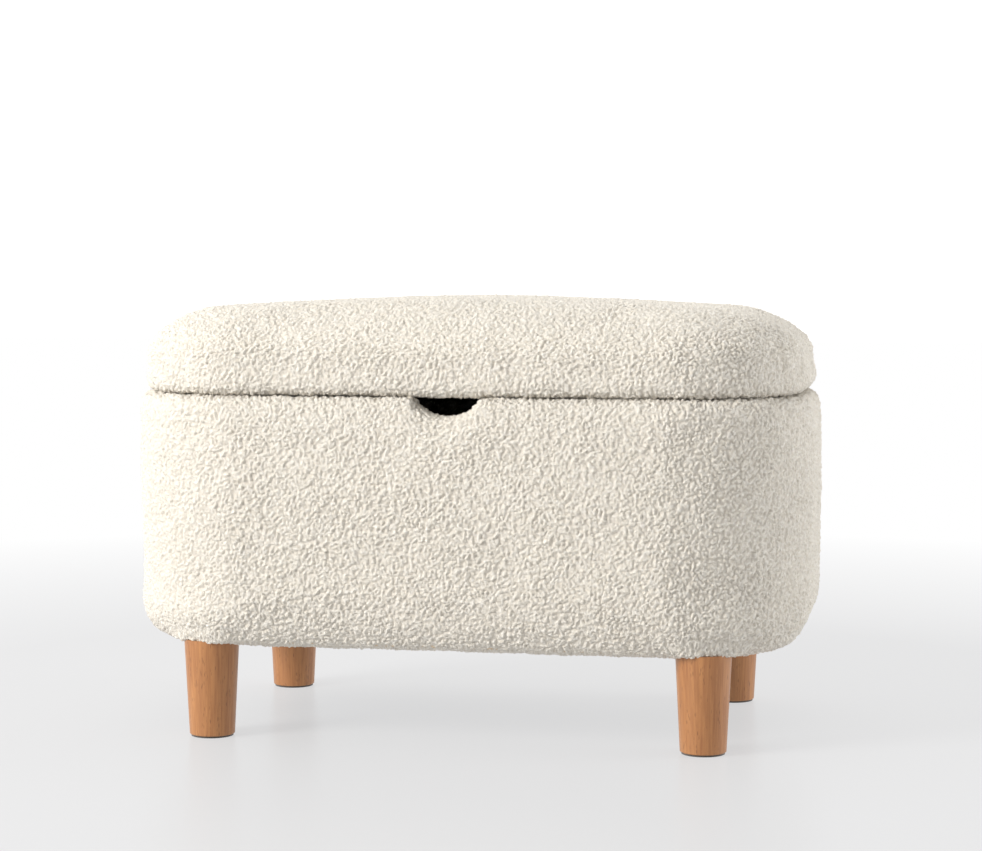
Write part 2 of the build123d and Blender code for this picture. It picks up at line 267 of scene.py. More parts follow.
class StageSettings(bpy.types.PropertyGroup):
    """The floor, the lights and the camera."""

    floor: FloatVectorProperty(
        name="Floor", description="Colour of the floor", subtype="COLOR",
        default=(0.70, 0.70, 0.705), min=0.0, max=1.0)
    sky: FloatProperty(
        name="Surrounding light", description="Strength of the white light from all round",
        default=1.24, min=0.0)
    key: FloatProperty(
        name="Key light", description="Power of the large soft light at the upper left",
        default=118.0, min=0.0, unit="POWER")
    azimuth: FloatProperty(
        name="Camera turn", description="Angle of the camera round the object from its front",
        default=math.radians(11.12), unit="ROTATION")
    elevation: FloatProperty(
        name="Camera rise", description="Angle of the camera above the horizon",
        default=math.radians(3.63), unit="ROTATION")
    distance: FloatProperty(
        name="Camera distance", description="Distance from the camera to the point it looks at",
        default=2.587, min=0.1, unit="LENGTH")
    lens: FloatProperty(
        name="Focal length", description="Focal length on a 36 mm wide sensor",
        default=89.6, min=1.0, unit="CAMERA")


# ------------------------------------------------------------------ plan and meshes


def unit(angle):
    """The direction at that angle in the plan."""
    return math.cos(angle), math.sin(angle)


def plan_columns():
    """Core points and outward directions all round the plan, anticlockwise from the front's left end."""
    corners = [(-CORE_X, -CORE_Y), (CORE_X, -CORE_Y), (CORE_X, CORE_Y), (-CORE_X, CORE_Y)]
    cores, outward = [], []
    for side in range(4):
        start, end = corners[side], corners[(side + 1) % 4]
        facing = math.radians(90 * side - 90)
        cells = FRONT_CELLS if side % 2 == 0 else SIDE_CELLS
        for step in range(cells):
            share = step / cells
            cores.append([a + (b - a) * share for a, b in zip(start, end)])
            outward.append(unit(facing))
        for step in range(ARC_CELLS):
            cores.append(end)
            outward.append(unit(facing + math.radians(90) * step / ARC_CELLS))
    return np.array(cores), np.array(outward)


def ring(inset, height):
    """One row of points round the plan, inset from the body's outer face."""
    cores, outward = plan_columns()
    flat = cores + outward * (ROUND - inset)
    return np.column_stack([flat, np.full(len(flat), height)])


def column_count():
    """Points in one row round the plan."""
    return 2 * (FRONT_CELLS + SIDE_CELLS) + 4 * ARC_CELLS


def grid_lines(core, radius, cells):
    """Places of a grid's lines across the plan, with quarter-disc corners of that radius."""
    half = ARC_CELLS // 2
    rise = [radius * math.sqrt(2) * math.sin(math.radians(45) * i / half) for i in range(1, half + 1)]
    inner = [-core + 2 * core * i / cells for i in range(cells + 1)]
    return np.array([-core - r for r in reversed(rise)] + inner + [core + r for r in rise])


def grid_points(radius):
    """A grid over the plan inside its margin, whose border meets a ring of points column by column."""
    x = grid_lines(CORE_X, radius, FRONT_CELLS)
    y = grid_lines(CORE_Y, radius, SIDE_CELLS)
    across, along = np.meshgrid(x, y, indexing="ij")
    over_x = np.clip((np.abs(across) - CORE_X) / radius, 0, None)
    over_y = np.clip((np.abs(along) - CORE_Y) / radius, 0, None)
    round_x = CORE_X + radius * over_x * np.sqrt(1 - over_y ** 2 / 2)
    round_y = CORE_Y + radius * over_y * np.sqrt(1 - over_x ** 2 / 2)
    corner = (over_x > 0) & (over_y > 0)
    across = np.where(corner, np.sign(across) * round_x, across)
    along = np.where(corner, np.sign(along) * round_y, along)
    return across, along


def border_order(rows, columns):
    """Grid indices round the border in the order of plan_columns."""
    half = ARC_CELLS // 2
    front = [(i, 0) for i in range(rows - 1)]
    right = [(rows - 1, j) for j in range(columns - 1)]
    back = [(i, columns - 1) for i in range(rows - 1, 0, -1)]
    left = [(0, j) for j in range(columns - 1, 0, -1)]
    loop = front + right + back + left
    return loop[half:] + loop[:half]


def edge_distance(x, y):
    """Inset of points from the body's outer face, in plan."""
    over_x = np.abs(x) - CORE_X
    over_y = np.abs(y) - CORE_Y
    outside = np.hypot(np.clip(over_x, 0, None), np.clip(over_y, 0, None))
    inside = np.minimum(np.maximum(over_x, over_y), 0)
    return ROUND - outside - inside


def ring_faces(start_a, start_b, count):
    """Quads between two rows of points, facing out where the second row is above the first."""
    ahead = [(i + 1) % count for i in range(count)]
    return [(start_a + i, start_a + j, start_b + j, start_b + i) for i, j in zip(range(count), ahead)]


def spans(start, end, size):
    """Whole cells of about that size from start to end, without the start."""
    cells = max(1, round(math.dist(start, end) / size))
    return [tuple(a + (b - a) * i / cells for a, b in zip(start, end)) for i in range(1, cells + 1)]


def bend(centre, radius, start, end, size):
    """Points along an arc in the profile, without its first, the angles in degrees."""
    radius = (radius, radius) if isinstance(radius, float) else radius
    turn = abs(math.radians(end - start))
    cells = max(2, round(turn * max(radius) / size))
    angles = [math.radians(start + (end - start) * i / cells) for i in range(1, cells + 1)]
    return [(centre[0] + radius[0] * math.cos(a), centre[1] + radius[1] * math.sin(a)) for a in angles]


def remove(name):
    """Takes away the object of an earlier run, so that an operator can be used again."""
    old = bpy.data.objects.get(name)
    if old:
        bpy.data.objects.remove(old)


def mesh_object(name, points, faces):
    """A new smooth-shaded object."""
    remove(name)
    mesh = bpy.data.meshes.new(name)
    mesh.from_pydata([tuple(map(float, p)) for p in points], [], faces)
    mesh.validate()
    mesh.shade_smooth()
    made = bpy.data.objects.new(name, mesh)
    bpy.context.scene.collection.objects.link(made)
    return made


def coordinates(mesh):
    """The places of a mesh's points, one row each."""
    flat = np.empty(len(mesh.vertices) * 3, np.float32)
    mesh.vertices.foreach_get("co", flat)
    return flat.reshape(-1, 3).astype(float)


def normals(mesh):
    """The outward directions at a mesh's points, one row each."""
    flat = np.empty(len(mesh.vertices) * 3, np.float32)
    mesh.vertex_normals.foreach_get("vector", flat)
    return flat.reshape(-1, 3).astype(float)


def move_to(mesh, points):
    """Puts a mesh's points at those places."""
    mesh.vertices.foreach_set("co", points.astype(np.float32).ravel())
    mesh.update()


def mark(mesh, name, values):
    """Stores one number for each point, for the materials and for later steps."""
    layer = mesh.attributes.get(name) or mesh.attributes.new(name, "FLOAT", "POINT")
    layer.data.foreach_set("value", np.asarray(values, np.float32))


def marked(mesh, name):
    """The numbers that mark stored under that name."""
    flat = np.empty(len(mesh.vertices), np.float32)
    mesh.attributes[name].data.foreach_get("value", flat)
    return flat.astype(float)


def subdivide(obj, levels):
    """Applies a subdivision surface."""
    modifier = obj.modifiers.new("Subdivision", "SUBSURF")
    modifier.levels = levels
    modifier.render_levels = levels
    depsgraph = bpy.context.evaluated_depsgraph_get()
    smooth = bpy.data.meshes.new_from_object(
        obj.evaluated_get(depsgraph), preserve_all_data_layers=True, depsgraph=depsgraph)
    obj.modifiers.remove(modifier)
    obj.data = smooth


def inflate(obj, held, pressure, reach, frames=20):
    """Swells a closed pad with Cloth, holds some of its points, and caps how far the rest may move."""
    before = coordinates(obj.data)
    group = obj.vertex_groups.new(name="held")
    group.add([int(i) for i in np.flatnonzero(held)], 1.0, "REPLACE")
    cloth = obj.modifiers.new("Cloth", "CLOTH")
    cloth.settings.use_pressure = True
    cloth.settings.uniform_pressure_force = pressure
    cloth.settings.vertex_group_mass = group.name
    cloth.settings.effector_weights.gravity = 0
    cloth.settings.quality = 4
    cloth.point_cache.frame_start = 1
    cloth.point_cache.frame_end = frames
    scene = bpy.context.scene
    for number in range(1, frames + 1):
        scene.frame_set(number)
    swollen = obj.evaluated_get(bpy.context.evaluated_depsgraph_get())
    shift = coordinates(swollen.data) - before
    far = np.linalg.norm(shift, axis=1)
    capped = reach * np.tanh(far / reach)
    shift *= (capped / np.maximum(far, 1e-9))[:, None]
    obj.modifiers.remove(cloth)
    obj.vertex_groups.remove(group)
    scene.frame_set(1)
    move_to(obj.data, before + shift)


# ------------------------------------------------------------------ pile


def wander(points, size, seed, channels=1):
    """Smooth repeatable noise from -1 to 1, with features of about that size."""
    scaled = points / size
    low = np.floor(scaled.min(0)).astype(int) - 1
    counts = np.floor(scaled.max(0)).astype(int) - low + 3
    lattice = np.random.default_rng(seed).random((*counts, channels)) * 2 - 1
    cell = np.floor(scaled).astype(int) - low
    share = scaled - np.floor(scaled)
    share = share * share * (3 - 2 * share)
    total = np.zeros((len(points), channels))
    for corner in np.ndindex(2, 2, 2):
        at = cell + corner
        weight = np.prod(np.where(corner, share, 1 - share), axis=1)
        total += lattice[at[:, 0], at[:, 1], at[:, 2]] * weight[:, None]
    return total


def curls(points, size, seed):
    """How high the nearest curl stands at each point, 0 to 1, and a number that is that curl's own.

    Each cell of a lattice holds one short bent rope of fleece, and the highest at a point shows.
    """
    bent = points + 0.16 * size * wander(points, 1.15 * size, seed + 1, 3)
    scaled = bent / size
    low = np.floor(scaled.min(0)).astype(int) - 2
    counts = np.floor(scaled.max(0)).astype(int) - low + 3
    draws = np.random.default_rng(seed).random((*counts, 8))
    headings = draws[..., 3:6] - 0.5
    headings /= np.linalg.norm(headings, axis=-1, keepdims=True) + 1e-9
    scaled -= low
    cell = np.floor(scaled).astype(int)
    best = np.zeros(len(points))
    own = np.zeros(len(points))
    for step in np.ndindex(3, 3, 3):
        at = cell + np.array(step) - 1
        draw = draws[at[:, 0], at[:, 1], at[:, 2]]
        heading = headings[at[:, 0], at[:, 1], at[:, 2]]
        offset = scaled - at - draw[:, :3]
        half_length = 0.05 + 0.22 * draw[:, 6]
        along = np.clip(np.einsum("ij,ij->i", offset, heading), -half_length, half_length)
        away = offset - along[:, None] * heading
        thickness = 0.52 + 0.16 * draw[:, 7]
        stand = 0.35 + 1.15 * draw[:, 6] * draw[:, 7] + 0.35 * draw[:, 7]
        rise = (1 - np.einsum("ij,ij->i", away, away) / thickness ** 2) * stand
        higher = rise > best
        best = np.where(higher, rise, best)
        own = np.where(higher, draw[:, 6], own)
    return np.sqrt(best), own


SEAM = (BODY_HIGH.z + LID_LOW.z) / 2
SEAM_REACH = 6 * MM  # the curls beside the seam are fuller, and here and there they close it
SEAM_CLOSE = 0.9 * MM
NAP = 0.95  # the curls lean a little more up and down than across


def raise_pile(obj, settings):
    """Turns the smooth cover into curly pile, where its "pile" mark says so."""
    mesh = obj.data
    points = coordinates(mesh)
    amount = marked(mesh, "pile")
    height, own = curls(points * (1, 1, NAP), settings.curl, settings.seed)
    fullness = 1 + 0.22 * wander(points, 24 * MM, settings.seed + 2)[:, 0]
    loose = 0.55 * MM * wander(points, 46 * MM, settings.seed + 3)[:, 0]
    loose += 0.30 * MM * wander(points, 17 * MM, settings.seed + 4)[:, 0]
    seam = np.exp(-((points[:, 2] - SEAM) / SEAM_REACH) ** 2)
    rise = settings.height * (height * fullness * (1 + 0.5 * seam) - 0.72) + loose
    meet = np.clip(wander(points, 6 * MM, settings.seed + 6)[:, 0], -0.3, 1) * seam * SEAM_CLOSE
    sway = 0.22 * settings.height * wander(points, 0.9 * settings.curl, settings.seed + 5, 3)
    lift = rise[:, None] * normals(mesh) + sway * height[:, None]
    lift[:, 2] += meet * np.sign(SEAM - points[:, 2])
    move_to(mesh, points + amount[:, None] * lift)
    # The pile material paints shade from this mark: darker where the curls stand low.
    mark(mesh, "curl", height)
    mark(mesh, "own", own)


# ------------------------------------------------------------------ materials


class Finish:
    """A material built afresh, with short calls that add and join its nodes."""

    def __init__(self, name, **values):
        self.material = bpy.data.materials.get(name) or bpy.data.materials.new(name)
        self.material.use_nodes = True
        self.tree = self.material.node_tree
        self.tree.nodes.clear()
        self.shader = self.tree.nodes.new("ShaderNodeBsdfPrincipled")
        self.output = self.tree.nodes.new("ShaderNodeOutputMaterial")
        self.tree.links.new(self.shader.outputs[0], self.output.inputs["Surface"])
        self.fill(self.shader, values)

    def fill(self, node, values):
        """Sets inputs by name, or by number as input_0. A socket is linked, and a value is set."""
        for key, value in values.items():
            if key.startswith("input_"):
                socket = node.inputs[int(key[6:])]
            else:
                socket = node.inputs[key.replace("_", " ").title()]
            if isinstance(value, bpy.types.NodeSocket):
                self.tree.links.new(value, socket)
            elif socket.type == "RGBA" and len(value) == 3:
                socket.default_value = (*value, 1)
            else:
                socket.default_value = value

    def node(self, kind, settings=None, **inputs):
        made = self.tree.nodes.new("ShaderNode" + kind)
        for key, value in (settings or {}).items():
            setattr(made, key, value)
        self.fill(made, inputs)
        return made.outputs

    def place(self, *scale):
        """The object's own coordinates in metres, times these scales."""
        where = self.node("TexCoord")["Object"]
        return self.node("Mapping", vector=where, scale=scale)["Vector"]

    def mark(self, name):
        return self.node("Attribute", {"attribute_name": name})["Fac"]

    def maths(self, operation, *values, clamp=False):
        numbered = {f"input_{i}": v for i, v in enumerate(values)}
        return self.node("Math", {"operation": operation, "use_clamp": clamp}, **numbered)["Value"]

    def noise(self, vector, scale, detail=2.0, roughness=0.5, distortion=0.0):
        return self.node("TexNoise", vector=vector, scale=scale, detail=detail,
                         roughness=roughness, distortion=distortion)["Fac"]

    def strand(self, vector, scale, width):
        """Thin curly lines where smooth noise passes its middle value: 1 on a line, 0 between."""
        noise = self.noise(vector, scale, 0.5, 0.4, 0.3)
        away = self.maths("ABSOLUTE", self.maths("SUBTRACT", noise, 0.5))
        return self.maths("SUBTRACT", 1.0, self.maths("MULTIPLY", away, width), clamp=True)

    def between(self, value, low, high, to_low=0.0, to_high=1.0):
        return self.node("MapRange", input_0=value, input_1=low, input_2=high,
                         input_3=to_low, input_4=to_high)["Result"]

    def mix(self, factor, first, second, blend="MIX"):
        settings = {"data_type": "RGBA", "blend_type": blend}
        return self.node("Mix", settings, input_0=factor, input_6=first, input_7=second)[2]

    def bump(self, height, strength, distance, onto=None):
        more = {"normal": onto} if onto else {}
        return self.node("Bump", height=height, strength=strength, distance=distance, **more)[0]


def pile_finish(settings):
    """Cream fleece: fine curly strands over the curls, with painted shade that greys the cracks between them, and a
    soft sheen.
    """
    finish = Finish("pile_cloth", roughness=0.92, sheen_weight=0.25, sheen_roughness=0.45)
    place = finish.place(1, 1, 0.85)
    tufts = finish.node("TexVoronoi", {"feature": "SMOOTH_F1"}, vector=place,
                        scale=370.0, smoothness=0.25, randomness=1.0)["Distance"]
    tuft = finish.between(tufts, 0.10, 0.62, 1.0, 0.0)
    strand = finish.maths("MAXIMUM", tuft, finish.strand(place, 720.0, 7.0))
    fibres = finish.noise(place, 1100.0, 2.0, 0.6)
    patches = finish.noise(place, 9.0, 2.0)
    # Painted shade: the colour runs from the ground colour up to the curl colour with the height of the strands and
    # curls, so the cracks between them are darker.
    ground = finish.between(finish.mark("curl"), 0.05, 0.75)
    height = finish.maths("MULTIPLY", finish.between(strand, 0.0, 1.0, 0.30, 1.0),
                          finish.between(ground, 0.0, 1.0, 0.45, 1.0))
    height = finish.maths("ADD", height, finish.between(fibres, 0.3, 0.7, -0.12, 0.12), clamp=True)
    colour = finish.mix(height, tuple(settings.shade), tuple(settings.light))
    warm = finish.between(finish.mark("own"), 0.0, 1.0, 0.0, 0.5)
    colour = finish.mix(warm, colour, (1.0, 0.965, 0.89), "MULTIPLY")
    cool = finish.between(patches, 0.35, 0.65, 0.0, 0.35)
    colour = finish.mix(cool, colour, (0.965, 0.97, 0.975), "MULTIPLY")
    rough = finish.between(fibres, 0.3, 0.7, 0.84, 0.98)
    relief = finish.bump(strand, 0.8, 0.6 * MM, finish.bump(fibres, 0.7, 0.4 * MM))
    finish.fill(finish.shader, {"base_color": colour, "roughness": rough, "normal": relief})
    return finish.material


def beech_finish(settings):
    """Turned beech, its grain upright, with short dark flecks, under a satin lacquer."""
    finish = Finish("beech", coat_weight=0.25, coat_roughness=0.28)
    fine = finish.noise(finish.place(420, 420, 9), 1.0, 3.0, 0.6)
    broad = finish.noise(finish.place(70, 70, 3.2), 1.0, 2.0, 0.5, 0.6)
    grain = finish.maths("ADD", finish.maths("MULTIPLY", fine, 0.55), finish.maths("MULTIPLY", broad, 0.5))
    colour = finish.mix(finish.between(grain, 0.34, 0.70), tuple(settings.light), tuple(settings.dark))
    specks = finish.node("TexVoronoi", {"feature": "F1"}, vector=finish.place(620, 620, 105),
                         scale=1.0, randomness=1.0)["Distance"]
    chosen = finish.noise(finish.place(240, 240, 40), 1.0, 1.0)
    fleck = finish.maths("MULTIPLY", finish.between(specks, 0.10, 0.34, 1.0, 0.0),
                         finish.between(chosen, 0.50, 0.60))
    colour = finish.mix(finish.maths("MULTIPLY", fleck, 0.75), colour, tuple(settings.fleck))
    rough = finish.between(grain, 0.3, 0.7, 0.36, 0.52)
    relief = finish.bump(finish.maths("SUBTRACT", fine, fleck), 0.25, 0.25 * MM)
    finish.fill(finish.shader, {"base_color": colour, "roughness": rough, "normal": relief})
    return finish.material


def plywood_finish():
    """Birch plywood: pale faces with long grain, and thin darker plies on the edges."""
    finish = Finish("plywood")
    grain = finish.noise(finish.place(14, 240, 240), 1.0, 4.0, 0.6, 0.4)
    colour = finish.mix(finish.between(grain, 0.3, 0.7), (0.70, 0.52, 0.33), (0.55, 0.37, 0.20))
    height = finish.node("SeparateXYZ", vector=finish.place(1, 1, 1))["Z"]
    plies = finish.maths("SINE", finish.maths("MULTIPLY", height, 2 * math.pi / (3 * MM)))
    facing = finish.node("SeparateXYZ", vector=finish.node("NewGeometry")["True Normal"])["Z"]
    upright = finish.maths("LESS_THAN", finish.maths("ABSOLUTE", facing), 0.5)
    lines = finish.maths("MULTIPLY", finish.between(plies, 0.2, 0.8), upright)
    colour = finish.mix(finish.maths("MULTIPLY", lines, 0.45), colour, (0.33, 0.20, 0.10))
    relief = finish.bump(grain, 0.3, 0.3 * MM)
    rough = finish.between(grain, 0.3, 0.7, 0.5, 0.7)
    finish.fill(finish.shader, {"base_color": colour, "roughness": rough, "normal": relief})
    return finish.material


def lining_finish(settings):
    """Dark plain weave. Its threads follow the cloth's own width and length."""
    finish = Finish("lining_cloth", sheen_weight=0.12, sheen_roughness=0.5)
    turn = 2 * math.pi / settings.pitch
    place = finish.place(1, 1, 1)
    drift = finish.noise(place, 60.0, 2.0)
    wobble = finish.between(drift, 0.3, 0.7, -0.9, 0.9)
    weft = finish.maths("MULTIPLY", finish.mark("weft"), turn)
    across = finish.maths("SINE", finish.maths("ADD", weft, wobble))
    warp = finish.maths("MULTIPLY", finish.mark("warp"), turn)
    along = finish.maths("SINE", finish.maths("ADD", warp, wobble))
    weave = finish.between(finish.maths("MULTIPLY", across, along), -1.0, 1.0)
    fuzz = finish.noise(place, 900.0, 2.0)
    colour = finish.mix(weave, tuple(settings.cloth), tuple(settings.thread))
    colour = finish.mix(finish.between(fuzz, 0.35, 0.75, 0.0, 0.35), colour, (0.11, 0.11, 0.12))
    relief = finish.bump(weave, 0.5, 0.5 * MM, finish.bump(fuzz, 0.25, 0.3 * MM))
    rough = finish.between(weave, 0.0, 1.0, 0.96, 0.82)
    finish.fill(finish.shader, {"base_color": colour, "roughness": rough, "normal": relief})
    return finish.material


def felt_finish():
    """Dense grey-brown felt with a matted surface."""
    finish = Finish("felt", sheen_weight=0.35, sheen_roughness=0.6)
    place = finish.place(1, 1, 1)
    mat = finish.noise(place, 800.0, 4.0, 0.7, 2.0)
    colour = finish.mix(finish.between(mat, 0.3, 0.7), (0.035, 0.028, 0.024), (0.10, 0.085, 0.07))
    finish.fill(finish.shader, {
        "base_color": colour, "roughness": finish.between(mat, 0.3, 0.7, 0.85, 1.0),
        "normal": finish.bump(mat, 0.7, 0.6 * MM)})
    return finish.material


def steel_finish():
    """Zinc-plated steel: a faint blotchy bloom and fine drawn lines."""
    finish = Finish("zinc_steel", metallic=1.0)
    lines = finish.noise(finish.place(40, 1500, 1500), 1.0, 2.0)
    bloom = finish.noise(finish.place(1, 1, 1), 160.0, 3.0, 0.6)
    colour = finish.mix(finish.between(bloom, 0.35, 0.65), (0.60, 0.61, 0.62), (0.74, 0.745, 0.74))
    rough = finish.between(finish.maths("ADD", lines, bloom), 0.7, 1.3, 0.24, 0.42)
    finish.fill(finish.shader, {
        "base_color": colour, "roughness": rough, "normal": finish.bump(lines, 0.12, 0.08 * MM)})
    return finish.material


def wear(obj, finish):
    """Gives an object that material alone."""
    obj.data.materials.clear()
    obj.data.materials.append(finish)


# ------------------------------------------------------------------ pieces


def body_profile():
    """The body pad's section: (inset, height, pile, held) for each row, from under the box and outwards."""
    low, top = BODY_LOW.z, BODY_HIGH.z
    foot, crest = 38 * MM, 12 * MM
    flap_end, inner = 73.5 * MM, 35.0 * MM
    flap_low, inner_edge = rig.box("wall_lining")[1].z + 0.3 * MM, 4 * MM
    wall_face, rim = 17.8 * MM, 345.5 * MM
    base, back_face = 99.8 * MM, 33.3 * MM
    shown = [(flap_end, low)]
    shown += spans((flap_end, low), (foot, low), ROW)
    shown += bend((foot, low + foot), foot, 270, 180, ROW)
    foot_end = (0, low + foot)
    shown[-1] = foot_end
    shown += spans(foot_end, (0, top - crest), ROW)
    shown += bend((crest, top - crest), crest, 180, 90, ROW)
    shown += spans((crest, top), (inner - inner_edge, top), ROW)
    shown += bend((inner - inner_edge, top - inner_edge), inner_edge, 90, 0, ROW)
    shown += spans((inner, top - inner_edge), (inner, flap_low), ROW)
    hidden = [(back_face, flap_low), (back_face, rim), (wall_face, rim)]
    hidden += spans((wall_face, rim), (wall_face, base), 50 * MM)
    hidden += [(45 * MM, base), (flap_end, base)]
    rows = [(i, z, 1.0, False) for i, z in shown]
    rows += [(i, z, 0.0, True) for i, z in hidden]
    return rows


def body_bulge(height):
    """How far the padded wall stands out of a straight one: fullest above the middle."""
    return -2.4 * MM + 2.4 * MM * math.exp(-((height - 265 * MM) / (80 * MM)) ** 2)


def body_cage():
    """The body pad as a closed ring of quads."""
    rows = body_profile()
    count = column_count()
    low, top = BODY_LOW.z, BODY_HIGH.z
    bulging, free = 30 * MM, 20 * MM
    held_rim, held_foot = top - 12 * MM, low + 14 * MM
    points, pile, held = [], [], []
    for inset, height, amount, fixed in rows:
        outer = amount > 0 and inset < bulging
        out = body_bulge(height) * math.sin(math.pi * (height - low) / (top - low)) if outer else 0.0
        points.append(ring(inset - out, height))
        pile += [amount] * count
        held += [fixed or inset > free or height > held_rim or height < held_foot] * count
    faces = []
    for row in range(len(rows)):
        faces += ring_faces(row * count, ((row + 1) % len(rows)) * count, count)
    return np.concatenate(points), faces, pile, held


def cut_finger_gap(points):
    """Lowers the front rim along the arc of the finger gap."""
    half = 35 * MM
    depth = 18 * MM
    top = BODY_HIGH.z
    radius = (half ** 2 + depth ** 2) / (2 * depth)
    x, y, z = points.T
    reach = np.clip(radius ** 2 - x ** 2, (radius - depth) ** 2, None)
    drop = np.sqrt(reach) - (radius - depth)
    blend = np.clip((z - (top - 70 * MM)) / (70 * MM), 0, 1)
    front = (y < -CORE_Y) & (np.abs(x) < half)
    shifted = points.copy()
    shifted[:, 2] = z - np.where(front, drop * blend, 0)
    return shifted


LID_SIDE_TOP = LID_LOW.z + 39 * MM
LID_OVER = 85 * MM
LID_RISE = 43 * MM
LID_CROWN = LID_HIGH.z - LID_SIDE_TOP - LID_RISE - 5 * MM
STEEP = math.radians(28)


def lid_height(x, y, sine):
    """Height of the lid's top at a share of its shoulder's rise."""
    crown_x = np.clip(1 - (x / LID_HIGH.x) ** 2, 0, 1) ** 1.8
    crown_y = np.clip(1 - (y / LID_HIGH.y) ** 2, 0, 1) ** 0.7
    return LID_SIDE_TOP + sine * (LID_RISE + LID_CROWN * crown_x * crown_y)


def lid_rows():
    """The lid pad's section below its top: (inset, height, shoulder angle or None)."""
    low = LID_LOW.z
    edge = 13 * MM
    flap_end = 54.8 * MM
    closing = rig.box("lid_lining")[1].z + 0.05 * MM
    rows = [(flap_end, closing, None), (flap_end, low + 0.6 * MM, None)]
    rows += [(i, z, None) for i, z in spans((flap_end, low), (LID_INSET + edge, low), ROW)]
    rows += [(i, z, None) for i, z in bend((LID_INSET + edge, low + edge), edge, 270, 180, ROW)]
    rows += [(i, z, None) for i, z in spans((LID_INSET, low + edge), (LID_INSET, LID_SIDE_TOP), ROW)]
    cells = 5
    for step in range(1, cells + 1):
        angle = STEEP * step / cells
        rows.append((LID_INSET + LID_OVER * (1 - math.cos(angle)), None, angle))
    return rows


def lid_cage():
    """The lid pad: rows up its side and a grid over its top, open underneath until close_below closes it."""
    rows = lid_rows()
    count = column_count()
    points, faces, held = [], [], []
    for inset, height, angle in rows:
        row = ring(inset, height or 0)
        if angle is not None:
            row[:, 2] = lid_height(row[:, 0], row[:, 1], math.sin(angle))
        points.append(row)
        held += [height is not None and height < LID_LOW.z + 12 * MM] * count
    for row in range(len(rows) - 1):
        faces += ring_faces(row * count, (row + 1) * count, count)
    radius = ROUND - rows[-1][0]
    x, y = grid_points(radius)
    over = np.clip(1 - (edge_distance(x, y) - LID_INSET) / LID_OVER, 0, 1)
    z = lid_height(x, y, np.sqrt(1 - over ** 2))
    number = np.full(x.shape, -1)
    for place, at in enumerate(border_order(*x.shape)):
        number[at] = (len(rows) - 1) * count + place
    inner = number < 0
    number[inner] = len(rows) * count + np.arange(inner.sum())
    points.append(np.column_stack([x[inner], y[inner], z[inner]]))
    held += [False] * int(inner.sum())
    for i in range(x.shape[0] - 1):
        for j in range(x.shape[1] - 1):
            faces.append(tuple(int(number[a]) for a in ((i, j), (i + 1, j), (i + 1, j + 1), (i, j + 1))))
    return np.concatenate(points), faces, held


def close_below(mesh):
    """Closes the one open edge loop, under the lid's lining, with a flat face."""
    work = bmesh.new()
    work.from_mesh(mesh)
    bmesh.ops.holes_fill(work, edges=[e for e in work.edges if e.is_boundary], sides=0)
    work.to_mesh(mesh)
    work.free()


def hug_legs(points):
    """Brings the pile down round the top of each leg, so that no gap shows over it."""
    x, y, z = points.T
    below, above, fade, reach, softness = 1.6 * MM, 14 * MM, 9 * MM, 22 * MM, 20 * MM
    lowered = points.copy()
    for name in ("leg_front_left", "leg_front_right", "leg_back_left", "leg_back_right"):
        low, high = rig.box(name)
        middle = (low + high) / 2
        away = np.hypot(x - middle.x, y - middle.y)
        near = np.clip((high.x - middle.x + reach - away) / softness, 0, 1)
        near = near * near * (3 - 2 * near)
        brim = high.z - below
        underside = np.clip((high.z + above - z) / fade, 0, 1)
        sag = underside * np.clip(z - brim, 0, None)
        lowered[:, 2] -= near * sag
    return lowered


HINGE_PLACE = 190 * MM  # of each hinge's middle, left and right
HINGE_HALF = 40 * MM
HINGE_FRONT = 188 * MM
HINGE_HEIGHT = 350 * MM
HINGE_ROUND = 12 * MM
SHORT_PILE = 0.25


def calm_near_hinges(points, amount):
    """Leaves the pile short where the hinges fold, at the back edge."""
    x, y, z = points.T
    near_x = np.abs(np.abs(x) - HINGE_PLACE) < HINGE_HALF
    near = near_x & (y > HINGE_FRONT) & (np.abs(z - HINGE_HEIGHT) < HINGE_ROUND)
    return np.where(near, SHORT_PILE * amount, amount)


class PADDED_BOX_OT_body(bpy.types.Operator):
    """Makes the padded body with its curly pile."""

    bl_idname = "padded_box.body"
    bl_label = "Padded body"

    def execute(self, context):
        settings = context.scene.padded_box_pile
        points, faces, pile, held = body_cage()
        body = mesh_object("body_pile", points, faces)
        mark(body.data, "pile", pile)
        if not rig.quick():
            inflate(body, held, settings.pressure, settings.swell)
        subdivide(body, FINE_LEVELS)
        points = hug_legs(cut_finger_gap(coordinates(body.data)))
        move_to(body.data, points)
        mark(body.data, "pile", calm_near_hinges(points, marked(body.data, "pile")))
        raise_pile(body, settings)
        wear(body, pile_finish(settings))
        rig.replaces(body, "body_cover", "body_foam")
        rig.slot(body, "boucle")
        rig.padded(body, fill=0.9)
        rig.ride(body, "box")
        return {"FINISHED"}


class PADDED_BOX_OT_lid(bpy.types.Operator):
    """Makes the padded lid with its curly pile."""

    bl_idname = "padded_box.lid"
    bl_label = "Padded lid"

    def execute(self, context):
        settings = context.scene.padded_box_pile
        points, faces, held = lid_cage()
        lid = mesh_object("lid_pile", points, faces)
        first_row = np.arange(len(points)) < column_count()
        hidden = first_row & np.isclose(points[:, 2], points[first_row, 2].mean())
        mark(lid.data, "pile", np.where(hidden, 0.0, 1.0))
        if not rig.quick():
            inflate(lid, held, settings.pressure, settings.swell)
        subdivide(lid, FINE_LEVELS)
        close_below(lid.data)
        points = coordinates(lid.data)
        mark(lid.data, "pile", calm_near_hinges(points, marked(lid.data, "pile")))
        raise_pile(lid, settings)
        wear(lid, pile_finish(settings))
        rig.replaces(lid, "lid_cover", "lid_foam")
        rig.slot(lid, "boucle")
        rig.padded(lid, fill=0.8)
        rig.ride(lid, "lid")
        return {"FINISHED"}


WALL_CLOTH = 1.3 * MM
HEM = 14 * MM


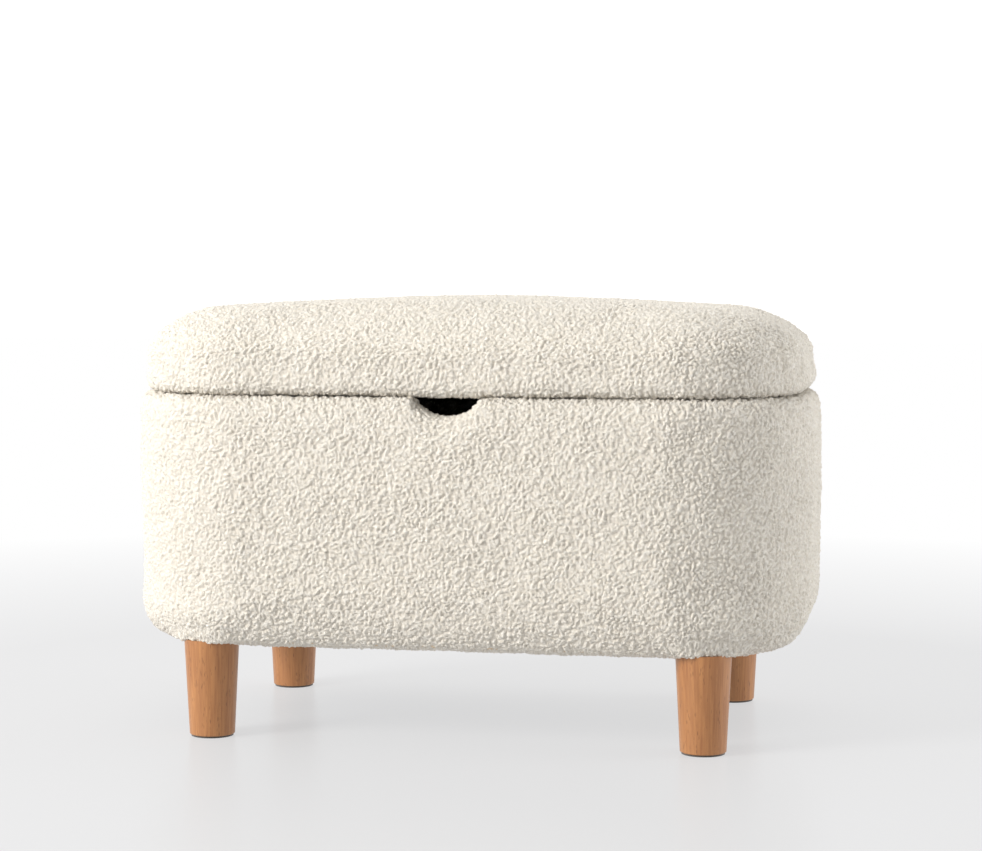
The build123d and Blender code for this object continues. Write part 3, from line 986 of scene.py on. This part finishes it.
def lining_panel(name, inset, height, amplitude, seed):
    """A flat piece of lining with a rounded outline and slight waves."""
    radius = ROUND - inset
    x, y = grid_points(radius)
    place = np.column_stack([x.ravel(), y.ravel(), np.zeros(x.size)])
    waves = wander(place, 55 * MM, seed)[:, 0]
    edge = np.clip((edge_distance(place[:, 0], place[:, 1]) - inset) / (20 * MM), 0, 1)
    points = place + np.column_stack([np.zeros((x.size, 2)), height + amplitude * waves * edge])
    across, along = x.shape
    faces = [(i * along + j, (i + 1) * along + j, (i + 1) * along + j + 1, i * along + j + 1)
             for i in range(across - 1) for j in range(along - 1)]
    panel = mesh_object(name, points, faces)
    mark(panel.data, "weft", points[:, 0])
    mark(panel.data, "warp", points[:, 1])
    return panel


def thicken(obj, thickness):
    """Makes cloth of a single surface, which stays at its middle."""
    solid = obj.modifiers.new("Thickness", "SOLIDIFY")
    solid.thickness = thickness
    solid.offset = 0


def wall_lining_mesh(name, inset, low, high):
    """The cloth round the inside of the box, with a turned hem along its top and slight puckers."""
    cores, outward = plan_columns()
    count = len(cores)
    rows = [low + (high - low) * i / 36 for i in range(37)]
    run = np.cumsum(np.linalg.norm(np.diff(ring(inset, 0), axis=0, prepend=ring(inset, 0)[:1]), axis=1))
    points, weft, warp = [], [], []
    for height in rows:
        row = ring(inset, height)
        hem = 0.35 * MM if height > high - HEM else 0.0
        pucker = wander(np.column_stack([row[:, :2], np.full(count, height * 0.35)]), 30 * MM, 31)[:, 0]
        share = math.sin(math.pi * (height - low) / (high - low))
        out = 0.5 * MM * pucker * share + hem
        row[:, :2] -= outward * out[:, None]
        points.append(row)
        weft.append(run)
        warp.append(np.full(count, height))
    faces = []
    for row in range(len(rows) - 1):
        faces += ring_faces((row + 1) * count, row * count, count)
    wall = mesh_object(name, np.concatenate(points), faces)
    mark(wall.data, "weft", np.concatenate(weft))
    mark(wall.data, "warp", np.concatenate(warp))
    return wall


def panel_size(inset):
    """Width, length and area of a rounded panel at that inset."""
    width, length = 2 * (BODY_HIGH.x - inset), 2 * (BODY_HIGH.y - inset)
    return (width, length), width * length - (4 - math.pi) * (ROUND - inset) ** 2


class PADDED_BOX_OT_linings(bpy.types.Operator):
    """Makes the cloth linings inside the box and lid, and the dust cover under the base."""

    bl_idname = "padded_box.linings"
    bl_label = "Linings"

    def execute(self, context):
        finish = lining_finish(context.scene.padded_box_lining)
        low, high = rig.box("wall_lining")
        inset = BODY_HIGH.x - high.x
        wall = wall_lining_mesh("wall_cloth", inset + 0.75 * MM, low.z, high.z)
        run = 4 * (CORE_X + CORE_Y) + 2 * math.pi * (ROUND - inset)
        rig.sheet(wall, flat=(run, high.z - low.z), held="stretched", rests_on=["front_panel", "back_panel"])
        panels = [
            ("floor_cloth", "floor_lining", "box", ["base_panel"], 0.35 * MM, 41),
            ("lid_cloth", "lid_lining", "lid", ["lid_board"], 0.25 * MM, 42),
            ("dust_cloth", "dust_cover", "box", ["base_panel"], 0.20 * MM, 43),
        ]
        wear(wall, finish)
        thicken(wall, WALL_CLOTH)
        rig.replaces(wall, "wall_lining")
        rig.slot(wall, "dark_cloth")
        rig.ride(wall, "box")
        for name, node, body, support, amplitude, seed in panels:
            low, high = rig.box(node)
            inset = BODY_HIGH.x - high.x
            panel = lining_panel(name, inset, (low.z + high.z) / 2, amplitude, seed)
            wear(panel, finish)
            thicken(panel, high.z - low.z - 2 * amplitude)
            flat, area = panel_size(inset)
            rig.sheet(panel, flat=flat, held="stretched", rests_on=support, area=area)
            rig.replaces(panel, node)
            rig.slot(panel, "dark_cloth")
            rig.ride(panel, body)
        return {"FINISHED"}


def finish_nodes(names, finish):
    """Gives CAD nodes a material."""
    for name in names:
        wear(frame["nodes"][name], finish)


class PADDED_BOX_OT_legs(bpy.types.Operator):
    """Finishes the four turned legs in lacquered beech."""

    bl_idname = "padded_box.legs"
    bl_label = "Legs"

    def execute(self, context):
        finish_nodes([n for n in frame["nodes"] if n.startswith("leg_")],
                     beech_finish(context.scene.padded_box_beech))
        return {"FINISHED"}


class PADDED_BOX_OT_glides(bpy.types.Operator):
    """Finishes the felt glides under the legs."""

    bl_idname = "padded_box.glides"
    bl_label = "Glides"

    def execute(self, context):
        finish_nodes([n for n in frame["nodes"] if n.startswith("glide_")], felt_finish())
        return {"FINISHED"}


class PADDED_BOX_OT_carcass(bpy.types.Operator):
    """Finishes the plywood carcass and lid board."""

    bl_idname = "padded_box.carcass"
    bl_label = "Carcass"

    def execute(self, context):
        wooden = ("panel", "board", "corner_", "splines")
        finish_nodes([n for n in frame["nodes"] if any(w in n for w in wooden)], plywood_finish())
        return {"FINISHED"}


class PADDED_BOX_OT_hardware(bpy.types.Operator):
    """Finishes the hinges, screws, staples, bolts and inserts in zinc-plated steel."""

    bl_idname = "padded_box.hardware"
    bl_label = "Hardware"

    def execute(self, context):
        metal = ("hinge", "screws", "staples", "bolts", "inserts")
        finish_nodes([n for n in frame["nodes"] if any(w in n for w in metal)], steel_finish())
        return {"FINISHED"}


# ------------------------------------------------------------------ stage


FLOOR_SIDE = 28.0
CAMERA_TARGET = Vector((8.7 * MM, 0, 311 * MM))
SENSOR_WIDTH = 36  # in millimetres, as the focal length is


def floor_finish(settings):
    """Pale satin floor near the object, which passes into plain white further out."""
    finish = Finish("stage_floor", base_color=tuple(settings.floor), roughness=0.28)
    place = finish.place(1, 1, 1)
    far = finish.node("VectorMath", {"operation": "LENGTH"}, input_0=place)["Value"]
    glow = finish.node("Emission", color=tuple(settings.floor), strength=1.08)["Emission"]
    near = finish.node("MixShader", input_0=0.76, input_1=finish.shader.outputs[0], input_2=glow)[0]
    white = finish.node("Emission", color=(1, 1, 1), strength=1.0)["Emission"]
    blend = finish.node("MixShader", input_0=finish.between(far, 0.75, 1.9), input_1=near, input_2=white)[0]
    finish.tree.links.new(blend, finish.output.inputs["Surface"])
    return finish.material


def studio_world(strength):
    """White light from all round, weaker from the front right."""
    world = bpy.data.worlds.get("studio") or bpy.data.worlds.new("studio")
    world.use_nodes = True
    nodes, links = world.node_tree.nodes, world.node_tree.links
    nodes.clear()
    coordinate = nodes.new("ShaderNodeTexCoord")
    toward = nodes.new("ShaderNodeVectorMath")
    toward.operation = "DOT_PRODUCT"
    toward.inputs[1].default_value = Vector((0.55, -0.72, 0.42)).normalized()
    fall = nodes.new("ShaderNodeMapRange")
    fall.interpolation_type = "SMOOTHSTEP"
    fall.inputs["From Min"].default_value = 0.1
    fall.inputs["From Max"].default_value = 1.0
    fall.inputs["To Min"].default_value = strength
    fall.inputs["To Max"].default_value = 0.35 * strength
    background = nodes.new("ShaderNodeBackground")
    background.inputs["Color"].default_value = (1, 1, 1, 1)
    output = nodes.new("ShaderNodeOutputWorld")
    links.new(coordinate.outputs["Generated"], toward.inputs[0])
    links.new(toward.outputs["Value"], fall.inputs["Value"])
    links.new(fall.outputs["Result"], background.inputs["Strength"])
    links.new(background.outputs["Background"], output.inputs["Surface"])
    return world


def studio_light(name, place, target, size, power, colour):
    """A soft round lamp at a place, turned towards the target."""
    remove(name)
    lamp = bpy.data.lights.new(name, "AREA")
    lamp.shape = "DISK"
    lamp.size = size
    lamp.energy = power
    lamp.color = colour
    made = bpy.data.objects.new(name, lamp)
    bpy.context.scene.collection.objects.link(made)
    made.location = place
    made.rotation_euler = (Vector(target) - Vector(place)).to_track_quat("-Z", "Y").to_euler()


class PADDED_BOX_OT_stage(bpy.types.Operator):
    """Sets up the floor, the soft studio light and the camera."""

    bl_idname = "padded_box.stage"
    bl_label = "Studio"

    def execute(self, context):
        settings = context.scene.padded_box_stage
        scene = context.scene
        half = FLOOR_SIDE / 2
        corners = [(-half, -half, 0), (half, -half, 0), (half, half, 0), (-half, half, 0)]
        floor = mesh_object("stage_floor", corners, [(0, 1, 2, 3)])
        wear(floor, floor_finish(settings))
        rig.stage(floor)
        scene.world = studio_world(settings.sky)
        middle = (CAD_BOUNDS[0] + CAD_BOUNDS[1]) / 2
        studio_light("key", (-2.6, -2.2, 1.8), middle, 1.5, settings.key, (1.0, 0.985, 0.96))
        studio_light("fill", (2.8, 0.5, 0.8), middle, 1.4, 0.24 * settings.key, (1.0, 1.0, 1.0))
        scene.view_settings.view_transform = "Standard"
        remove("camera")
        camera = bpy.data.objects.new("camera", bpy.data.cameras.new("camera"))
        scene.collection.objects.link(camera)
        camera.data.sensor_width = SENSOR_WIDTH
        camera.data.lens = settings.lens
        away = Vector((math.sin(settings.azimuth) * math.cos(settings.elevation),
                       -math.cos(settings.azimuth) * math.cos(settings.elevation),
                       math.sin(settings.elevation)))
        camera.location = CAMERA_TARGET + away * settings.distance
        camera.rotation_euler = (math.radians(90) - settings.elevation, 0, settings.azimuth)
        scene.camera = camera
        return {"FINISHED"}


class PADDED_BOX_PT_panel(bpy.types.Panel):
    """The box's pieces and settings, in the 3D view's sidebar."""

    bl_idname = "PADDED_BOX_PT_panel"
    bl_label = "Padded box"
    bl_space_type = "VIEW_3D"
    bl_region_type = "UI"
    bl_category = "Padded box"

    def draw(self, context):
        for name, _, operators in GROUPS:
            column = self.layout.column(align=True)
            group = getattr(context.scene, name, None)
            for key in group.bl_rna.properties.keys() if group else ():
                if key not in ("rna_type", "name"):
                    column.prop(group, key)
            for operator in operators:
                column.operator(operator.bl_idname)


GROUPS = [
    ("padded_box_pile", PileSettings, [PADDED_BOX_OT_body, PADDED_BOX_OT_lid]),
    ("padded_box_lining", LiningSettings, [PADDED_BOX_OT_linings]),
    ("padded_box_beech", BeechSettings, [PADDED_BOX_OT_legs]),
    ("", None, [PADDED_BOX_OT_glides, PADDED_BOX_OT_carcass, PADDED_BOX_OT_hardware]),
    ("padded_box_stage", StageSettings, [PADDED_BOX_OT_stage]),
]


def register():
    for name, settings, operators in GROUPS:
        for operator in operators:
            bpy.utils.register_class(operator)
        if settings:
            bpy.utils.register_class(settings)
            setattr(bpy.types.Scene, name, PointerProperty(type=settings))
    bpy.utils.register_class(PADDED_BOX_PT_panel)


def unregister():
    bpy.utils.unregister_class(PADDED_BOX_PT_panel)
    for name, settings, operators in reversed(GROUPS):
        if settings:
            delattr(bpy.types.Scene, name)
            bpy.utils.unregister_class(settings)
        for operator in operators:
            bpy.utils.unregister_class(operator)


def main():
    register()
    bpy.ops.padded_box.body()
    bpy.ops.padded_box.lid()
    bpy.ops.padded_box.linings()
    bpy.ops.padded_box.legs()
    bpy.ops.padded_box.glides()
    bpy.ops.padded_box.carcass()
    bpy.ops.padded_box.hardware()
    bpy.ops.padded_box.stage()
    sizes = {"cad": CAD_BOUNDS, "visual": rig.bounds()}
    with open("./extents.json", "w") as out:
        json.dump({name: [list(corner) for corner in box] for name, box in sizes.items()}, out)


if __name__ == "__main__":
    main()
